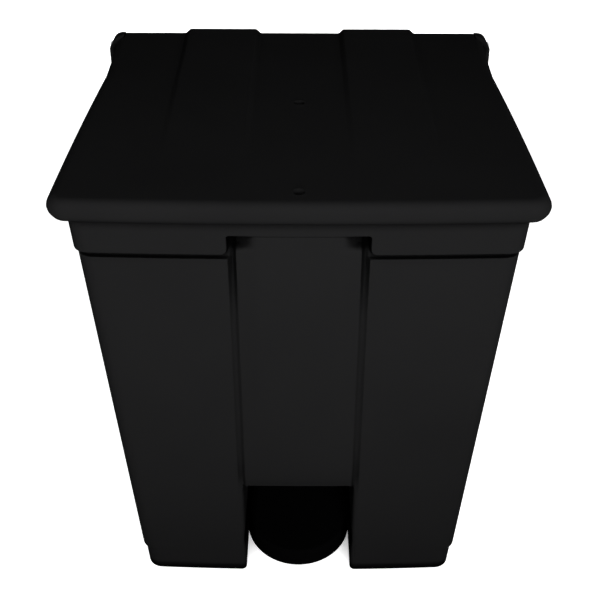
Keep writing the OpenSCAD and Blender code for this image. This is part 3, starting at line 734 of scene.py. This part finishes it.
class Nodes:
    """Adds and joins the nodes of one material."""

    def __init__(self, name):
        self.material = bpy.data.materials.new(name)
        self.material.use_nodes = True
        self.tree = self.material.node_tree
        self.tree.nodes.clear()
        self.out = self.add("ShaderNodeOutputMaterial")
        self.shader = self.add("ShaderNodeBsdfPrincipled")
        self.join(self.shader, "BSDF", self.out, "Surface")

    def add(self, kind, **inputs):
        node = self.tree.nodes.new(kind)
        for key, value in inputs.items():
            node.inputs[key.replace("_", " ")].default_value = value
        return node

    def join(self, a, out, b, into):
        self.tree.links.new(a.outputs[out], b.inputs[into])

    def times(self, a, a_out, b, b_out):
        node = self.add("ShaderNodeVectorMath")
        node.operation = "MULTIPLY"
        self.join(a, a_out, node, 0)
        self.join(b, b_out, node, 1)
        return node

    def ramp(self, source, out, stops):
        node = self.add("ShaderNodeValToRGB")
        elements = node.color_ramp.elements
        while len(elements) < len(stops):
            elements.new(0.5)
        for element, (at, value) in zip(elements, stops):
            element.position = at
            element.color = (value, value, value, 1) if isinstance(value, float) else (*value, 1)
        self.join(source, out, node, "Fac")
        return node

    def noise_ramp(self, noise, low, high):
        return self.ramp(noise, "Fac", list(zip(NOISE_STOPS, (low, high))))


def plastic(name, dark, light, grain):
    """Moulded black plastic: a fine grain, slow changes of tone, and painted shade that darkens its
    colour in crevices.
    """
    n = Nodes(name)
    place = n.add("ShaderNodeTexCoord")
    slow = n.add("ShaderNodeTexNoise", Scale=9.0, Detail=3.0)
    fine = n.add("ShaderNodeTexNoise", Scale=1400.0, Detail=2.0)
    n.join(place, "Object", slow, "Vector")
    n.join(place, "Object", fine, "Vector")
    # Painted shade: ambient occlusion darkens the base colour in crevices, grooves and the front's
    # pockets
    crevice = n.add("ShaderNodeAmbientOcclusion", Distance=PAINTED_SHADE_REACH)
    painted_shade = n.ramp(crevice, "AO", PAINTED_SHADE_STOPS)
    colour = n.noise_ramp(slow, dark, light)
    n.join(n.times(colour, "Color", painted_shade, "Color"), "Vector", n.shader, "Base Color")
    gloss = n.noise_ramp(slow, PLASTIC_ROUGH - ROUGH_VARY, PLASTIC_ROUGH + ROUGH_VARY)
    n.join(gloss, "Color", n.shader, "Roughness")
    n.shader.inputs["Specular IOR Level"].default_value = PLASTIC_SPECULAR
    bump = n.add("ShaderNodeBump", Strength=grain, Distance=0.0002)
    n.join(fine, "Fac", bump, "Height")
    n.join(bump, "Normal", n.shader, "Normal")
    return n.material


def steel():
    """Plain bright steel with a faint drawn grain."""
    n = Nodes("steel")
    place = n.add("ShaderNodeTexCoord")
    grain = n.add("ShaderNodeTexNoise", Scale=260.0, Detail=4.0)
    n.join(place, "Object", grain, "Vector")
    colour = n.noise_ramp(grain, (0.42, 0.43, 0.45), (0.56, 0.57, 0.59))
    gloss = n.noise_ramp(grain, 0.3, 0.42)
    n.join(colour, "Color", n.shader, "Base Color")
    n.join(gloss, "Color", n.shader, "Roughness")
    n.shader.inputs["Metallic"].default_value = 1.0
    return n.material


def wear(obj, material):
    obj.data.materials.clear()
    obj.data.materials.append(material)


# ---- The object ----
EDGE_WIDTH = 0.7
SOFT_NODES = ("pedal_lever", "rod_guide_left", "rod_guide_right", "axle_cap_left", "axle_cap_right")


def soften(obj, width):
    """Small rounded edges on a CAD node."""
    m = obj.modifiers.new("edges", "BEVEL")
    m.width, m.segments, m.limit_method = width * MM, 3, "ANGLE"
    m.angle_limit = math.radians(40)
    m.harden_normals = True


def dress():
    """Materials on every CAD node, and four smooth pieces in place of three of their shapes."""
    tub_plastic = plastic("tub_plastic", (0.0138, 0.0138, 0.0141), (0.0154, 0.0154, 0.0157), 0.18)
    dark_plastic = plastic("mechanism_plastic", (0.0015, 0.0015, 0.0016), (0.002, 0.002, 0.0021), 0.15)
    bright = steel()
    for name, node in frame["nodes"].items():
        slot = next(s["material_slot"] for s in frame["record"]["subparts"] if s["node"] == name)
        wear(node, {"steel": bright, "tub_plastic": tub_plastic}.get(slot, dark_plastic))
    for name in SOFT_NODES:
        soften(frame["nodes"][name], EDGE_WIDTH)
    for make, body, nodes, material, slot in (
        (make_tub, "bin", ["body_shell"], tub_plastic, "tub_plastic"),
        (make_fittings, "bin", ["body_shell"], tub_plastic, "tub_plastic"),
        (make_lid, "lid", ["lid"], tub_plastic, "tub_plastic"),
        (make_tread, "pedal", ["pedal_tread"], dark_plastic, "mechanism_plastic"),
    ):
        obj = make()
        wear(obj, material)
        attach(obj, body)
        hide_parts(*nodes)


# ---- Studio ----
FLOOR_HW = 12  # metres
FLOOR_DARK, FLOOR_WHITE = 0.06, 1.0  # to the light, and to the camera
PAINTED_SHADOW_REACH = 0.25  # metres; reach of the ambient occlusion that paints the floor's shadow
# Painted shadow: how the occlusion dims the floor's white emission
PAINTED_SHADOW_STOPS = [(0.03, 0.0), (0.1, 0.85), (0.5, 1.0)]
WORLD_DARK, WORLD_WHITE = (0.02, 0.02, 0.02, 1), (1, 1, 1, 1)
# name, place, aim, size, watts, spread in degrees
SOFTBOXES = (
    ("front", (0.17, -1.3, 0.77), (0, -0.15, 0.39), (0.9, 0.6), 2.8, 56),
    ("rear", (0.0, 2.0, 0.2), (0, 0, 0.2), (1.2, 0.3), 12.0, 180),
    ("left", (-1.9, -0.1, 0.2), (0, 0, 0.2), (0.6, 0.3), 4.0, 180),
    ("right", (1.9, -0.1, 0.2), (0, 0, 0.2), (0.6, 0.3), 4.0, 180),
)
CAMERA_AT, CAMERA_LENS, CAMERA_PITCH, CAMERA_ROLL = (0.001, -0.891, 0.771), 62.22, 31.92, 0.17


def shown(tree):
    """1 for rays that show the background: the camera's, and those off metal or through glass."""
    path = tree.nodes.new("ShaderNodeLightPath")
    total = path.outputs["Is Camera Ray"]
    for name in ("Is Glossy Ray", "Is Transmission Ray"):
        add = tree.nodes.new("ShaderNodeMath")
        add.operation, add.use_clamp = "ADD", True
        tree.links.new(total, add.inputs[0])
        tree.links.new(path.outputs[name], add.inputs[1])
        total = add.outputs[0]
    return total


def floor():
    """A wide floor, white to the rays that show it, so it doesn't light the bin from below.

    The lamps' shadow falls on its white colour; its emission is darkened by ambient occlusion close to
    the bin and in its tunnel, a painted shadow, where the emission would hide the real one."""
    hw = FLOOR_HW
    mesh = bpy.data.meshes.new("floor")
    mesh.from_pydata([(-hw, -hw, 0), (hw, -hw, 0), (hw, hw, 0), (-hw, hw, 0)], [], [(0, 1, 2, 3)])
    obj = bpy.data.objects.new("floor", mesh)
    bpy.context.scene.collection.objects.link(obj)
    n = Nodes("floor")
    path = n.add("ShaderNodeLightPath")
    colour = n.ramp(path, "Is Camera Ray", [(0.0, FLOOR_DARK), (1.0, FLOOR_WHITE)])
    n.join(colour, "Color", n.shader, "Base Color")
    n.shader.inputs["Roughness"].default_value = 1.0
    n.shader.inputs["Specular IOR Level"].default_value = 0.0
    # Painted shadow: ambient occlusion darkens the floor's white emission near the bin and inside its
    # tunnel
    open_sky = n.add("ShaderNodeAmbientOcclusion", Distance=PAINTED_SHADOW_REACH)
    glow_and_painted_shadow = n.ramp(open_sky, "AO", PAINTED_SHADOW_STOPS)
    n.join(glow_and_painted_shadow, "Color", n.shader, "Emission Color")
    n.tree.links.new(shown(n.tree), n.shader.inputs["Emission Strength"])
    wear(obj, n.material)


def softbox(name, place, aim, size, watts, spread):
    light = bpy.data.lights.new(name, "AREA")
    light.shape, light.size, light.size_y, light.energy = "RECTANGLE", size[0], size[1], watts
    light.spread = math.radians(spread)
    obj = bpy.data.objects.new(name, light)
    obj.location = place
    obj.rotation_euler = (Vector(aim) - Vector(place)).to_track_quat("-Z", "Y").to_euler()
    bpy.context.scene.collection.objects.link(obj)


def studio():
    """The world and the lights; the world is white to the rays that show it."""
    world = bpy.data.worlds.new("studio")
    bpy.context.scene.world = world
    world.use_nodes = True
    tree = world.node_tree
    back = tree.nodes["Background"]
    shade = tree.nodes.new("ShaderNodeMix")
    shade.data_type = "RGBA"
    shade.inputs["A"].default_value = WORLD_DARK
    shade.inputs["B"].default_value = WORLD_WHITE
    tree.links.new(shown(tree), shade.inputs["Factor"])
    tree.links.new(shade.outputs["Result"], back.inputs["Color"])
    back.inputs["Strength"].default_value = 1.0
    for light in SOFTBOXES:
        softbox(*light)


def camera():
    """The camera at the photo's viewing angle."""
    data = bpy.data.cameras.new("camera")
    data.lens, data.sensor_width = CAMERA_LENS, 36.0
    obj = bpy.data.objects.new("camera", data)
    obj.location = CAMERA_AT
    obj.rotation_euler = (math.radians(90 - CAMERA_PITCH), 0, 0)
    obj.rotation_euler.rotate_axis("Z", math.radians(CAMERA_ROLL))
    bpy.context.scene.collection.objects.link(obj)
    bpy.context.scene.camera = obj


dress()
floor()
studio()
camera()
bpy.context.scene.view_settings.view_transform = "Standard"
bpy.context.view_layer.update()


def plain(bounds):
    return [[float(c) for c in corner] for corner in bounds]
